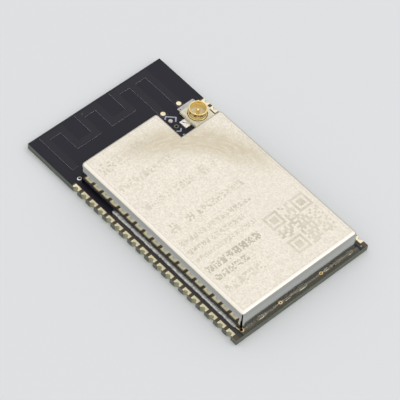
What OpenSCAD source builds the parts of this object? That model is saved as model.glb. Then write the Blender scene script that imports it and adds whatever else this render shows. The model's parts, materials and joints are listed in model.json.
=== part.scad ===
// Radio module with edge contacts, a printed antenna, a micro coaxial receptacle and a shield can.
// X runs across the board, Y along it towards the antenna, Z up. The origin is the middle of the
// board at the underside of its solder lands. Millimetres.

/* [Board] */
// Width of the board
board_w = 18; // [16.2:0.1:20]
// Length of the board
board_l = 31.4; // [28.4:0.1:36]
// Thickness of the bare laminate
core_t = 0.71; // [0.4:0.01:1.6]
// Thickness of the copper lands on each face
foil_t = 0.045; // [0.02:0.005:0.07]
// Thickness of the solder mask on each face
mask_t = 0.03; // [0.01:0.005:0.05]
// Bare laminate left round each land by the solder mask
mask_gap = 0.05; // [0.02:0.01:0.08]
// Distance from each side edge to the bare strip along the front edge
bare_side = 1; // [0.6:0.1:3]

/* [Edge contacts] */
// Number of contacts on each long edge
contact_count = 19; // [4:1:19]
// Distance from the antenna end to the furthest contact
contact_first = 7.45; // [6.9:0.05:8]
// Distance from the front edge to the nearest contact
contact_last = 1.09; // [1:0.01:1.3]
// Width of a land along the edge
land_w = 0.9; // [0.7:0.05:1]
// Depth of a land on the upper face
land_top = 0.45; // [0.4:0.05:0.6]
// Depth of a land on the underside
land_under = 0.85; // [0.6:0.05:0.95]
// Diameter of the plated half hole
half_hole_d = 0.5; // [0.35:0.05:0.6]

/* [Underside pad grid] */
// Width of one square of the thermal pad grid
grid_square = 0.9; // [0.6:0.05:1.1]
// Spacing of the squares
grid_pitch = 1.4; // [1.2:0.05:1.8]
// Squares along each side of the grid
grid_count = 3; // [1:1:4]

/* [Printed antenna] */
// Width of the antenna trace
trace_w = 0.75; // [0.4:0.05:0.9]
// Distance from the antenna end of the board to the trace
antenna_gap = 0.28; // [0.2:0.02:0.6]
// Distance from the right edge to the middle of the first leg
antenna_right = 2.52; // [2.2:0.02:2.6]
// Distance from the left edge to the middle of the last leg
antenna_left = 1.68; // [1.5:0.02:2.6]
// How much further apart two legs are that are joined at their inner end
fold_extra = 0.3; // [0:0.05:0.5]
// Depth of the folds, from middle to middle of the trace
fold_depth = 2.68; // [1.5:0.02:3]
// Length of the two connected legs, from the middle of the end bar
feed_leg = 5.18; // [4.2:0.02:5.3]
// Length of the open leg, from the middle of the end bar
open_leg = 4.4; // [2:0.05:5]
// Diameter of the mask opening at the foot of each connected leg
feed_pad_d = 0.55; // [0.3:0.05:0.7]

/* [Shield can] */
// Distance from each long edge of the board to the can
can_side = 1.15; // [1:0.01:1.6]
// Distance from the antenna end of the board to the can
antenna_zone = 6.7; // [6.3:0.05:7.6]
// Height of the can above the lands
can_h = 2.5; // [2.3:0.05:3.5]
// Thickness of the can's sheet
sheet_t = 0.2; // [0.1:0.02:0.24]
// Outside radius of the bend round the top
bend_r = 0.3; // [0.26:0.02:0.4]
// Plan radius of the two plain corners
corner_r = 0.6; // [0.42:0.02:1]
// Distance from the front edge of the board to the can
can_front = 0.65; // [0.5:0.05:1]
// Width of the notch for the receptacle
notch_w = 5.4; // [4.6:0.05:6]
// Length of the notch for the receptacle
notch_l = 3.8; // [3.6:0.05:4.4]
// Width of the corner seams at the foot
seam_foot = 0.24; // [0.1:0.02:0.3]
// Width of the corner seams at the top
seam_top = 0.08; // [0.04:0.02:0.1]
// Height of the arch in the left wall
arch_h = 0.5; // [0.2:0.05:1]
// Length of the arch in the left wall
arch_l = 4.8; // [2:0.1:8]

/* [Ground strip and solder] */
// Width of the ground strip outside the can
strip_out = 0.16; // [0.1:0.02:0.2]
// Width of the ground strip inside the can's wall
strip_in = 0.2; // [0.1:0.02:0.3]
// Width of the solder fillet along the can's foot
fillet_w = 0.12; // [0.04:0.02:0.16]
// Height of the solder fillet
fillet_h = 0.14; // [0.04:0.02:0.3]
// Height of the solder on the receptacle's lands
tin_h = 0.09; // [0.04:0.01:0.1]

/* [Plated holes] */
// Diameter of a plated hole's ring
ring_d = 0.5; // [0.4:0.02:0.6]
// Bore of a plated hole
via_d = 0.24; // [0.15:0.01:0.3]
// Distance from the can's left face to the second hole under its front foot
hole_2 = 5.25; // [2:0.05:7]
// Distance from the can's left face to the third hole under its front foot
hole_3 = 10.8; // [8:0.05:14]
// Distance from the receptacle's axis to the two holes beside it
side_hole = 2.65; // [2.55:0.01:2.75]
// Distance of the first of those holes past the receptacle's axis
side_hole_first = 1.2; // [1.1:0.05:1.3]
// Spacing of those two holes
side_hole_pitch = 0.9; // [0.8:0.05:1]

/* [Coaxial receptacle] */
// Distance from the right edge to the receptacle's axis
coax_side = 2.08; // [1.9:0.02:2.2]
// Distance from the can's back face to the receptacle's axis
coax_back = 1.53; // [1.5:0.01:1.6]
// Width of the moulded base
base_w = 2.6; // [2.4:0.05:2.8]
// Height of the moulded base
base_h = 0.36; // [0.25:0.01:0.5]
// Outside diameter of the barrel's snap lip
barrel_d = 2; // [1.8:0.05:2.2]
// Height of the barrel above the lands
barrel_h = 1.25; // [1:0.05:1.6]
// Wall of the barrel at the lip
barrel_wall = 0.14; // [0.1:0.01:0.2]
// Height of the snap lip
lip_h = 0.4; // [0.2:0.05:0.6]
// Depth of the barrel's neck below its lip
groove_t = 0.07; // [0.06:0.01:0.08]
// Reach of the barrel's foot ring beyond its lip
foot_out = 0.08; // [0.06:0.01:0.12]
// Diameter of the centre pin
pin_d = 0.34; // [0.2:0.02:0.5]
// Height of the centre pin above the lands
pin_h = 1.08; // [0.7:0.02:1.2]
// Thickness of the receptacle's contact strips
strap_t = 0.1; // [0.06:0.01:0.14]
// Width of each ground strap
strap_w = 1.8; // [1.2:0.05:2]
// Width of the signal tail
tail_w = 0.5; // [0.3:0.05:0.7]
// Length of each strap beyond the base
strap_out = 0.3; // [0.1:0.05:0.4]
// Length of each ground land beyond the base
coax_land_out = 0.62; // [0.5:0.02:0.7]
// Length of the signal land beyond the base
tail_land_out = 0.77; // [0.5:0.01:0.85]
// Width of each ground land
coax_land_w = 2.2; // [1.9:0.05:2.4]
// Width of the signal land
tail_land_w = 1; // [0.6:0.05:1.2]

/* [Markings] */
// Width of a line of marking ink
ink_w = 0.15; // [0.1:0.01:0.2]
// Thickness of the marking ink
ink_t = 0.012; // [0.005:0.001:0.02]
// Reach of an ink mark from the middle of the hole that it runs round
mark_reach = 0.75; // [0.6:0.05:0.9]
// Distance of the ink dot from the right edge
dot_side = 0.62; // [0.6:0.02:0.9]
// Distance of the ink dot from the front edge
dot_front = 0.36; // [0.3:0.02:0.5]

/* [Processor] */
// Width of the processor
chip_w = 6; // [5.6:0.1:6.4]
// Height of the processor
chip_h = 0.85; // [0.6:0.05:1.2]
// Contacts along each side of the processor
chip_pins = 12; // [6:1:12]
// Spacing of the processor's contacts
chip_pitch = 0.45; // [0.4:0.01:0.46]
// Width of the processor's heat pad
chip_pad_w = 3.8; // [2:0.1:4.2]
// Distance of the processor's middle from the can's front wall
chip_from_front = 15.6; // [15.2:0.1:16]
// Distance of the chips' middle to the left of the board's middle
chips_left = 1.9; // [1.6:0.1:2.1]

/* [Memory chips] */
// Width and length of the flash memory's body
flash_w = 5.2; // [4.8:0.1:5.4]
// Height of the flash memory
flash_h = 1.8; // [1.2:0.05:1.9]
// Reach of the flash memory's leads from tip to tip
flash_span = 7.8; // [7.4:0.1:8]
// Gap between the can's front wall and the flash memory
flash_gap = 0.6; // [0.3:0.05:1]
// Width of the working memory's body
ram_w = 3.9; // [3.5:0.1:4.2]
// Length of the working memory's body
ram_l = 4.9; // [4.6:0.1:5]
// Height of the working memory
ram_h = 1.5; // [1:0.05:1.75]
// Reach of the working memory's leads from tip to tip
ram_span = 6; // [5.6:0.1:6.4]
// Distance of the working memory's middle from the can's front wall
ram_from_front = 9; // [8.8:0.1:9.2]
// Spacing of the leads
lead_pitch = 1.27; // [1.1:0.01:1.3]
// Width of a lead
lead_w = 0.42; // [0.3:0.02:0.5]
// Thickness of a lead
lead_t = 0.15; // [0.1:0.01:0.2]
// Length of a lead's foot
lead_foot = 0.6; // [0.4:0.05:0.7]
// Gap under each memory body
body_lift = 0.1; // [0.05:0.01:0.15]

/* [Crystal] */
// Length of the crystal
crystal_l = 2.5; // [2:0.1:3]
// Width of the crystal
crystal_w = 2; // [1.6:0.1:2.4]
// Height of the crystal's ceramic base
crystal_base_h = 0.38; // [0.2:0.02:0.6]
// Height of the crystal's lid
crystal_lid_h = 0.14; // [0.1:0.02:0.3]
// Distance of the crystal's middle from the can's front wall
crystal_from_front = 15.1; // [15:0.05:15.6]
// Distance from the can's right wall to the crystal's middle
crystal_side = 2.9; // [2.4:0.1:3.2]

/* [Chip capacitors, resistors and coils] */
// Length of a small two-ended part
part_l = 1; // [0.9:0.02:1.1]
// Width of a small two-ended part
part_w = 0.5; // [0.4:0.02:0.6]
// Height of a capacitor or a coil
part_h = 0.5; // [0.3:0.02:0.6]
// Height of a resistor
resistor_h = 0.35; // [0.2:0.01:0.5]
// Length of a metal end
end_l = 0.24; // [0.15:0.01:0.3]
// Thickness of the metal round an end
end_t = 0.02; // [0.01:0.005:0.04]
// Distance of the outer columns of parts from the can's wall
column_gap = 0.65; // [0.55:0.05:0.75]
// Spacing of the parts in a column
column_pitch = 1.7; // [1.5:0.05:1.9]
// Spacing of the parts in a row
row_pitch = 1.3; // [1.1:0.05:1.4]
// Spacing of parts that lie across their column
cross_pitch = 1.1; // [1:0.05:1.15]
// Distance between the two right-hand columns
column_step = 2.2; // [2:0.05:2.4]
// Gap between a chip and the small parts at its end
part_gap = 0.45; // [0.4:0.05:0.6]

/* [Hidden] */

// Passes a cutting tool right through the face it opens
cut = 0.1;
round_fn = 48;

// Levels of the stack: underside of the lands is zero
core_z = foil_t;
top_z = foil_t + core_t;
land_z = top_z + foil_t;
mask_z = top_z + mask_t;

// Edges of the board
side_x = board_w / 2;
end_y = board_l / 2;

// Faces of the can, outside
can_x = side_x - can_side;
can_front_y = can_front - end_y;
can_back_y = end_y - antenna_zone;
notch_x = can_x - notch_w;
notch_y = can_back_y - notch_l;
arch_y = can_back_y - corner_r - arch_l;
seam_r = bend_r + 0.02;
inner_front_y = can_front_y + sheet_t;

// Contact rows, counted from the antenna end: 1.27 apart
contact_pitch = (board_l - contact_first - contact_last) / (contact_count - 1);
function contact_y(i) = end_y - contact_first - i * contact_pitch;

// Antenna legs, from the right
fold_outer = (board_w - antenna_right - antenna_left - 2 * fold_extra) / 6;
fold_inner = fold_outer + fold_extra;
leg_0 = side_x - antenna_right;
leg_1 = leg_0 - fold_outer;
leg_2 = leg_1 - fold_outer;
leg_3 = leg_2 - fold_inner;
leg_4 = leg_3 - fold_outer;
leg_5 = leg_4 - fold_inner;
leg_6 = leg_5 - fold_outer;
bar_y = end_y - antenna_gap - trace_w / 2;
fold_y = bar_y - fold_depth;
feed_y = bar_y - feed_leg;
pad_rim = 0.05;
foot_y = feed_y - feed_pad_d / 2 - pad_rim + trace_w / 2;

// Receptacle axis
coax_x = side_x - coax_side;
coax_y = can_back_y - coax_back;
barrel_r = barrel_d / 2;
barrel_in = barrel_r - barrel_wall;

// Chips, placed from the can's front wall and the board's middle
chip_at = [-chips_left, inner_front_y + chip_from_front];
flash_at = [-chips_left, inner_front_y + flash_gap + flash_w / 2];
ram_at = [-chips_left, inner_front_y + ram_from_front];
crystal_at = [can_x - sheet_t - crystal_side, inner_front_y + crystal_from_front];

// Small parts as [x, y, angle]
left_x = -can_x + sheet_t + column_gap;
right_x = -left_x;
column_in = 0.6;
chip_column = chip_at[1] + chip_w / 2 - column_in;
flash_column = flash_at[1] - flash_w / 2 + column_in;
crystal_row = crystal_at[1] - crystal_w / 2 - part_gap - part_l / 2;
coil_row = chip_at[1] + chip_w / 2 + part_gap + part_l / 2;
capacitor_places = concat(
    [for (i = [0:5]) [left_x, chip_column - i * column_pitch, 90]],
    [for (i = [0:3]) [right_x - column_step, flash_column + i * column_pitch, 90]],
    [for (i = [-1, 1]) [crystal_at[0] + i * row_pitch / 2, crystal_row, 90]]);
resistor_places = concat(
    [for (i = [0:4]) [right_x, flash_column + i * column_pitch, 90]],
    [for (i = [0:2]) [right_x - column_step, ram_at[1] + i * cross_pitch, 0]]);
coil_places = [for (i = [0:2]) [chip_at[0] + (i - 0.5) * row_pitch, coil_row, 90]];

// Lands reach this far past the contacts they hold, at the toe and at each side
land_toe = 0.1;
land_side = 0.05;
small_land = 0.45;
crystal_land = [0.9, 0.7];
chip_contact = [0.4, 0.2];
contact_t = 0.1;

// Plated holes as [x, y]: three under the can's front foot, one at its back corner, two in the notch
front_hole_y = can_front_y - 0.05;
corner_hole_out = 0.02;
hole_places = [
    [-can_x - strip_out + ring_d / 2, front_hole_y],
    [-can_x + hole_2, front_hole_y],
    [-can_x + hole_3, front_hole_y],
    [-can_x - corner_hole_out, can_back_y + corner_hole_out],
    [coax_x - side_hole, coax_y + side_hole_first],
    [coax_x - side_hole, coax_y + side_hole_first - side_hole_pitch]];

// ---------- helpers ----------

module slab(z, t) { translate([0, 0, z]) linear_extrude(t) children(); }

module box2d(x0, y0, x1, y1) { translate([x0, y0]) square([x1 - x0, y1 - y0]); }

// Flat corner trimmer: what a rounded corner of radius r takes off a square one
module corner_trim(r) {
    difference() {
        translate([-cut, -cut]) square(r + cut);
        translate([r, r]) circle(r, $fn = round_fn);
    }
}

// Outline of the can, d inside its outer face; a negative d lies outside it
module can_outline(d) {
    plain = corner_r - d;
    seam = max(seam_r - d, 0.02);
    difference() {
        union() {
            box2d(-can_x + d, can_front_y + d, can_x - d, notch_y - d);
            box2d(-can_x + d, can_front_y + d, notch_x - d, can_back_y - d);
        }
        translate([-can_x + d, can_front_y + d]) corner_trim(seam);
        translate([can_x - d, can_front_y + d]) rotate(90) corner_trim(plain);
        translate([can_x - d, notch_y - d]) rotate(180) corner_trim(seam);
        translate([notch_x - d, can_back_y - d]) rotate(180) corner_trim(seam);
        translate([-can_x + d, can_back_y - d]) rotate(-90) corner_trim(plain);
    }
}

// One upright corner of the can, with the bend round its top
module corner_post(r, b, h) {
    rotate_extrude($fn = 32) intersection() {
        square([r, h]);
        union() {
            square([r, h - b]);
            square([r - b + 0.001, h]);
            translate([r - b, h - b]) circle(b, $fn = 32);
        }
    }
}

// Box with four upright corners of radii r, listed anticlockwise from the front left
module bent_box(x0, y0, x1, y1, h, r, b) {
    hull() {
        translate([x0 + r[0], y0 + r[0]]) corner_post(r[0], b, h);
        translate([x1 - r[1], y0 + r[1]]) corner_post(r[1], b, h);
        translate([x1 - r[2], y1 - r[2]]) corner_post(r[2], b, h);
        translate([x0 + r[3], y1 - r[3]]) corner_post(r[3], b, h);
    }
}

// The can's solid body, d inside its outer face
module can_body(d, h) {
    s = seam_r - d;
    c = corner_r - d;
    b = bend_r - d;
    bent_box(-can_x + d, can_front_y + d, can_x - d, notch_y - d, h, [s, c, s, s], b);
    bent_box(-can_x + d, can_front_y + d, notch_x - d, can_back_y - d, h, [s, s, s, c], b);
}

// Wedge that opens a seam at a corner, pointing along +X, wide at the foot
module seam_cutter() {
    reach = seam_r + sheet_t * 2;
    h = can_h - bend_r;
    translate([-reach / 2, 0, 0]) rotate([90, 0, 90]) linear_extrude(reach)
        polygon([[-seam_foot / 2, -cut], [seam_foot / 2, -cut], [seam_top / 2, h], [-seam_top / 2, h]]);
}

module at_contacts(side) {
    for (i = [0:contact_count - 1]) translate([side * side_x, contact_y(i), 0])
        mirror([side < 0 ? 1 : 0, 0, 0]) children();
}

// Antenna outline, grown by d on every side
module antenna_outline(d) {
    w = trace_w / 2 + d;
    module bar(xa, xb, y) { box2d(xb - w, y - w, xa + w, y + w); }
    module leg(x, y) { box2d(x - w, y - w, x + w, bar_y + w); }
    bar(leg_0, leg_2, bar_y);
    bar(leg_3, leg_4, bar_y);
    bar(leg_5, leg_6, bar_y);
    bar(leg_2, leg_3, fold_y);
    bar(leg_4, leg_5, fold_y);
    for (x = [leg_0, leg_1]) leg(x, foot_y);
    for (x = [leg_2, leg_3, leg_4, leg_5]) leg(x, fold_y);
    leg(leg_6, bar_y - open_leg);
}

// Places along the four sides of the processor
module at_chip_pins() {
    translate(chip_at) for (a = [0:90:270]) rotate(a) for (i = [0:chip_pins - 1])
        translate([chip_w / 2, (i - (chip_pins - 1) / 2) * chip_pitch]) children();
}

// Places of the four leads on each side of a memory chip
module at_leads(at) {
    translate(at) for (s = [0, 180]) rotate(s) for (i = [0:3])
        translate([0, (i - 1.5) * lead_pitch]) children();
}

module at_places(places) { for (p = places) translate([p[0], p[1]]) rotate(p[2]) children(); }

// Lands of the parts inside the can, grown by d
module component_outline(d) {
    at_chip_pins()
        box2d(-chip_contact[0] - d, -chip_contact[1] / 2 - d, land_toe + d, chip_contact[1] / 2 + d);
    translate(chip_at) square(chip_pad_w + 2 * d, center = true);
    lead_outline(flash_at, flash_span, d);
    lead_outline(ram_at, ram_span, d);
    translate(crystal_at) for (x = [-1, 1], y = [-1, 1])
        translate([x * (crystal_l - crystal_land[0] + land_toe) / 2, y * (crystal_w - crystal_land[1]) / 2])
            square(crystal_land + 2 * [d, d], center = true);
    at_places(concat(capacitor_places, resistor_places, coil_places)) for (s = [-1, 1])
        translate([s * (part_l / 2 + land_toe - small_land / 2), 0])
            square([small_land + 2 * d, part_w + land_side + 2 * d], center = true);
}

// Lands under the leads of one memory chip
module lead_outline(at, span, d) {
    half = lead_w / 2 + land_side + d;
    at_leads(at) box2d(span / 2 - lead_foot - land_toe - d, -half, span / 2 + land_toe + d, half);
}

// Lands under the receptacle, grown by d
module receptacle_outline(d) {
    half = base_w / 2;
    under = 0.4;
    translate([coax_x, coax_y]) {
        for (s = [0, 180]) rotate(s)
            box2d(-coax_land_w / 2 - d, half - under - d, coax_land_w / 2 + d, half + coax_land_out + d);
        box2d(-half - tail_land_out - d, -tail_land_w / 2 - d, -half + under + d, tail_land_w / 2 + d);
    }
}

module hole_rings(d) { for (p = hole_places) translate(p) circle(d = d, $fn = round_fn); }

// Strip under the can's foot, left out below the arch and round the back left corner
module ground_outline(d) {
    difference() {
        can_outline(-strip_out - d);
        can_outline(sheet_t + strip_in + d);
        box2d(-can_x - strip_out - cut, arch_y + d, -can_x + corner_r - d, can_back_y - corner_r);
    }
}

module grid_outline(d) {
    translate(chip_at) for (i = [0:grid_count - 1], j = [0:grid_count - 1])
        translate([i - (grid_count - 1) / 2, j - (grid_count - 1) / 2] * grid_pitch)
            square(grid_square + 2 * d, center = true);
}

// ---------- board ----------

module laminate() {
    color([0.42, 0.43, 0.33]) slab(core_z, core_t) difference() {
        square([board_w, board_l], center = true);
        for (s = [-1, 1]) at_contacts(s) circle(d = half_hole_d + 2 * foil_t, $fn = round_fn);
        hole_rings(via_d + 2 * foil_t);
    }
}

// Solder mask: a thin sheet that rises over the antenna trace and stays clear of the bare lands
module top_mask() {
    color([0.09, 0.09, 0.1]) difference() {
        union() {
            slab(top_z, mask_t) difference() {
                square([board_w, board_l], center = true);
                box2d(-side_x + bare_side, -end_y - cut, side_x - bare_side, can_front_y);
            }
            slab(top_z, foil_t + mask_t) antenna_outline(mask_t);
        }
        slab(top_z - cut, cut + foil_t) antenna_outline(0);
        slab(top_z - cut, 1) {
            for (s = [-1, 1]) at_contacts(s)
                box2d(-land_top - mask_gap, -land_w / 2 - mask_gap, cut, land_w / 2 + mask_gap);
            ground_outline(mask_gap);
            component_outline(mask_gap);
            receptacle_outline(mask_gap);
            hole_rings(ring_d + 2 * mask_gap);
            for (x = [leg_0, leg_1]) translate([x, feed_y]) circle(d = feed_pad_d, $fn = round_fn);
        }
    }
}

module bottom_mask() {
    color([0.09, 0.09, 0.1]) slab(core_z - mask_t, mask_t) difference() {
        square([board_w, board_l], center = true);
        for (s = [-1, 1]) at_contacts(s)
            box2d(-land_under - mask_gap, -land_w / 2 - mask_gap, cut, land_w / 2 + mask_gap);
        grid_outline(mask_gap);
        hole_rings(ring_d + 2 * mask_gap);
    }
}

// One plated half hole with its lands, drawn for the right edge
module edge_contact() {
    difference() {
        union() {
            slab(top_z, foil_t) box2d(-land_top, -land_w / 2, 0, land_w / 2);
            slab(0, foil_t) box2d(-land_under, -land_w / 2, 0, land_w / 2);
            slab(0, land_z) intersection() {
                circle(d = half_hole_d + 2 * foil_t, $fn = round_fn);
                box2d(-land_w, -land_w, 0, land_w);
            }
        }
        slab(-cut, land_z + 2 * cut) circle(d = half_hole_d, $fn = round_fn);
    }
}

module edge_contacts_left() { color([0.93, 0.82, 0.58]) at_contacts(-1) edge_contact(); }

module edge_contacts_right() { color([0.93, 0.82, 0.58]) at_contacts(1) edge_contact(); }

module antenna_trace() { color([0.93, 0.82, 0.58]) slab(top_z, foil_t) antenna_outline(0); }

module thermal_pad_grid() { color([0.93, 0.82, 0.58]) slab(0, foil_t) grid_outline(0); }

module ground_strip() {
    color([0.9, 0.78, 0.55]) slab(top_z, foil_t) difference() {
        ground_outline(0);
        hole_rings(ring_d);
    }
}

// Barrels through the board, each with a ring on both faces
module plated_holes() {
    color([0.93, 0.82, 0.58]) difference() {
        union() {
            slab(0, foil_t) hole_rings(ring_d);
            slab(0, land_z) hole_rings(via_d + 2 * foil_t);
            slab(top_z, foil_t) hole_rings(ring_d);
        }
        slab(-cut, land_z + 2 * cut) hole_rings(via_d);
    }
}

module receptacle_lands() { color([0.93, 0.82, 0.58]) slab(top_z, foil_t) receptacle_outline(0); }

module component_lands() { color([0.93, 0.82, 0.58]) slab(top_z, foil_t) component_outline(0); }

// One straight stroke of ink with round ends
module stroke(a, b) {
    v = b - a;
    for (p = [a, b]) translate(p) circle(d = ink_w, $fn = 24);
    translate(a) rotate(atan2(v[1], v[0])) translate([0, -ink_w / 2]) square([norm(v), ink_w]);
}

// A line of strokes through corners given as shares of the marks' reach from a hole
module mark(hole, corners) {
    for (i = [1:len(corners) - 1])
        stroke(hole + corners[i - 1] * mark_reach, hole + corners[i] * mark_reach);
}

// Angle marks round the two holes beside the receptacle and a dot at the front right corner
module marking_ink() {
    color([0.82, 0.83, 0.88]) slab(mask_z, ink_t) {
        mark(hole_places[4], [[-0.4, 0.7], [0, 1], [1, 0], [0.5, -0.5]]);
        mark(hole_places[5], [[-0.5, -0.7], [-0.1, -1], [0.25, -0.7]]);
        translate([side_x - dot_side, dot_front - end_y]) circle(d = ink_w, $fn = 24);
    }
}

// ---------- shield ----------

module shield_can() {
    color([0.9, 0.87, 0.8]) translate([0, 0, land_z]) difference() {
        can_body(0, can_h);
        translate([0, 0, -cut]) can_body(sheet_t, can_h - sheet_t + cut);
        translate([-can_x + seam_r / 3, can_front_y + seam_r / 3, 0]) rotate(45) seam_cutter();
        translate([can_x - seam_r / 3, notch_y - seam_r / 3, 0]) rotate(45) seam_cutter();
        translate([notch_x - seam_r / 3, can_back_y - seam_r / 3, 0]) rotate(45) seam_cutter();
        translate([-can_x - cut, arch_y, -cut])
            cube([sheet_t + 2 * cut, arch_l, arch_h + cut]);
    }
}

// Fillet of solder along a straight foot, from a to b, filling to the left of that direction
module foot_fillet(a, b) {
    v = b - a;
    translate([a[0], a[1], land_z]) rotate(atan2(v[1], v[0])) rotate([90, 0, 90])
        linear_extrude(norm(v)) polygon([[0, 0], [fillet_w, 0], [fillet_w / 3, fillet_h / 3], [0, fillet_h]]);
}

module shield_solder() {
    seam = seam_r + seam_foot;
    hole_gap = ring_d / 2 + 0.02;
    holes_x = [for (i = [1, 2]) hole_places[i][0]];
    color([0.72, 0.71, 0.69]) {
        foot_fillet([-can_x, can_front_y + seam], [-can_x, arch_y]);
        foot_fillet([holes_x[0] - hole_gap, can_front_y], [-can_x + seam, can_front_y]);
        foot_fillet([holes_x[1] - hole_gap, can_front_y], [holes_x[0] + hole_gap, can_front_y]);
        foot_fillet([can_x - corner_r, can_front_y], [holes_x[1] + hole_gap, can_front_y]);
        foot_fillet([can_x, notch_y - seam], [can_x, can_front_y + corner_r]);
        foot_fillet([notch_x + fillet_w, notch_y], [can_x - seam, notch_y]);
        foot_fillet([notch_x, can_back_y - seam], [notch_x, notch_y + fillet_w]);
        foot_fillet([-can_x + corner_r, can_back_y], [notch_x - seam, can_back_y]);
    }
}

// ---------- coaxial receptacle ----------

// Stamped tube with a snap lip at the top, a narrower neck and a foot ring just above the base
module barrel_tube() {
    neck_r = barrel_r - groove_t;
    neck_top = barrel_h - lip_h;
    foot_r = barrel_r + foot_out;
    foot_top = base_h + groove_t;
    neck_y = (foot_top + neck_top) / 2;
    edge = 0.04;
    rotate_extrude($fn = round_fn) polygon([
        [barrel_in, strap_t / 2], [foot_r + edge, strap_t / 2], [foot_r, foot_top - edge],
        [foot_r - edge, foot_top], [neck_r, neck_y], [barrel_r, neck_top], [barrel_r, barrel_h - edge],
        [barrel_r - edge, barrel_h], [barrel_in + edge, barrel_h], [barrel_in, barrel_h - edge]]);
}

// Two flat straps that carry the barrel down to its ground lands
module ground_straps() {
    inner = barrel_in - 0.1;
    for (s = [0, 180]) rotate(s)
        translate([-strap_w / 2, inner, 0]) cube([strap_w, base_w / 2 + strap_out - inner, strap_t]);
}

module pin_and_tail() {
    collar_w = 0.12;
    collar_h = 0.2;
    cylinder(d = pin_d + 2 * collar_w, h = collar_h, $fn = round_fn);
    cylinder(d = pin_d, h = pin_h - pin_d / 2, $fn = round_fn);
    translate([0, 0, pin_h - pin_d / 2]) sphere(d = pin_d, $fn = round_fn);
    translate([-base_w / 2 - strap_out, -tail_w / 2, 0])
        cube([base_w / 2 + strap_out, tail_w, strap_t]);
}

module place_receptacle() { translate([coax_x, coax_y, land_z]) children(); }

// Barrel and straps in one stamping, slotted where the signal tail passes under it
module barrel_stamping() {
    side = 0.08;
    difference() {
        union() {
            barrel_tube();
            ground_straps();
        }
        translate([-barrel_r - cut, -tail_w / 2 - side, -cut])
            cube([barrel_r, tail_w + 2 * side, strap_t + side + cut]);
    }
}

module receptacle_barrel() { color([0.83, 0.66, 0.28]) place_receptacle() barrel_stamping(); }

module receptacle_pin() { color([0.85, 0.7, 0.35]) place_receptacle() pin_and_tail(); }

// Moulded base, closed round the straps and the tail, with a round floor inside the barrel
module receptacle_base() {
    bevel = 0.05;
    lug = 0.28;
    color([0.87, 0.84, 0.72]) place_receptacle() difference() {
        union() {
            slab(0, base_h - bevel) square(base_w, center = true);
            slab(0, base_h) square(base_w - 2 * bevel, center = true);
            translate([base_w / 2 - bevel, -lug, 0]) cube([lug + bevel, 2 * lug, base_h / 2]);
        }
        translate([0, 0, base_h - bevel]) cylinder(r = barrel_in, h = base_h, $fn = round_fn);
        barrel_stamping();
        pin_and_tail();
    }
}

// Solder on the lands outside the base, level with the straps it holds
module receptacle_solder() {
    half = base_w / 2;
    edge = 0.04;
    color([0.72, 0.71, 0.69]) place_receptacle() difference() {
        slab(0, tin_h) {
            for (s = [0, 180]) rotate(s)
                box2d(-coax_land_w / 2 + edge, half, coax_land_w / 2 - edge, half + coax_land_out - edge);
            box2d(-half - tail_land_out + edge, -tail_land_w / 2 + edge, -half, tail_land_w / 2 - edge);
        }
        ground_straps();
        pin_and_tail();
    }
}

// ---------- parts inside the can ----------

module chip_contacts() {
    slab(land_z, contact_t) {
        at_chip_pins() box2d(-chip_contact[0], -chip_contact[1] / 2, 0, chip_contact[1] / 2);
        translate(chip_at) square(chip_pad_w, center = true);
    }
}

module processor_contacts() { color([0.75, 0.74, 0.72]) chip_contacts(); }

module processor_body() {
    color([0.12, 0.12, 0.13]) difference() {
        slab(land_z, chip_h) translate(chip_at) square(chip_w, center = true);
        chip_contacts();
    }
}

// Profile of a bent lead from its root, inside the body's side at x, out to the foot's tip
module lead_profile(x, tip, rise) {
    root = x - 0.3;
    out = tip - lead_foot;
    polygon([[root, rise], [out, rise], [out, 0], [tip, 0], [tip, lead_t],
        [out + lead_t, lead_t], [out + lead_t, rise + lead_t], [root, rise + lead_t]]);
}

module leads(at, w, span, h) {
    translate([0, 0, land_z]) at_leads(at) translate([0, lead_w / 2, 0]) rotate([90, 0, 0])
        linear_extrude(lead_w) lead_profile(w / 2, span / 2, h / 2);
}

// Moulded memory body round the roots of its leads, with a dimple beside its first lead
module memory_block(at, w, l, span, h) {
    dimple_r = 0.35;
    dimple_in = 0.7;
    dimple_t = 0.05;
    difference() {
        slab(land_z + body_lift, h - body_lift) translate(at) square([w, l], center = true);
        leads(at, w, span, h);
        slab(land_z + h - dimple_t, cut)
            translate(at + [dimple_in - w / 2, l / 2 - dimple_in]) circle(dimple_r, $fn = round_fn);
    }
}

module flash_body() {
    color([0.13, 0.13, 0.14]) memory_block(flash_at, flash_w, flash_w, flash_span, flash_h);
}

module flash_leads() { color([0.75, 0.74, 0.72]) leads(flash_at, flash_w, flash_span, flash_h); }

module memory_body() {
    color([0.13, 0.13, 0.14]) memory_block(ram_at, ram_w, ram_l, ram_span, ram_h);
}

module memory_leads() { color([0.75, 0.74, 0.72]) leads(ram_at, ram_w, ram_span, ram_h); }

module crystal_base() {
    color([0.55, 0.5, 0.42]) slab(land_z, crystal_base_h)
        translate(crystal_at) square([crystal_l, crystal_w], center = true);
}

module crystal_lid() {
    rim = 0.15;
    color([0.8, 0.79, 0.76]) slab(land_z + crystal_base_h, crystal_lid_h)
        translate(crystal_at) square([crystal_l - 2 * rim, crystal_w - 2 * rim], center = true);
}

// Body of a small part, inside its metal ends
module part_block(h) {
    slab(end_t, h - 2 * end_t) square([part_l - 2 * end_t, part_w - 2 * end_t], center = true);
}

module part_end_pair(h) {
    difference() {
        for (s = [-1, 1]) translate([s * (part_l - end_l) / 2, 0, h / 2])
            cube([end_l, part_w, h], center = true);
        part_block(h);
    }
}

module small_bodies(places, h) { translate([0, 0, land_z]) at_places(places) part_block(h); }

module small_ends(places, h) { translate([0, 0, land_z]) at_places(places) part_end_pair(h); }

module capacitor_bodies() { color([0.66, 0.5, 0.36]) small_bodies(capacitor_places, part_h); }

module capacitor_ends() { color([0.78, 0.77, 0.75]) small_ends(capacitor_places, part_h); }

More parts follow.
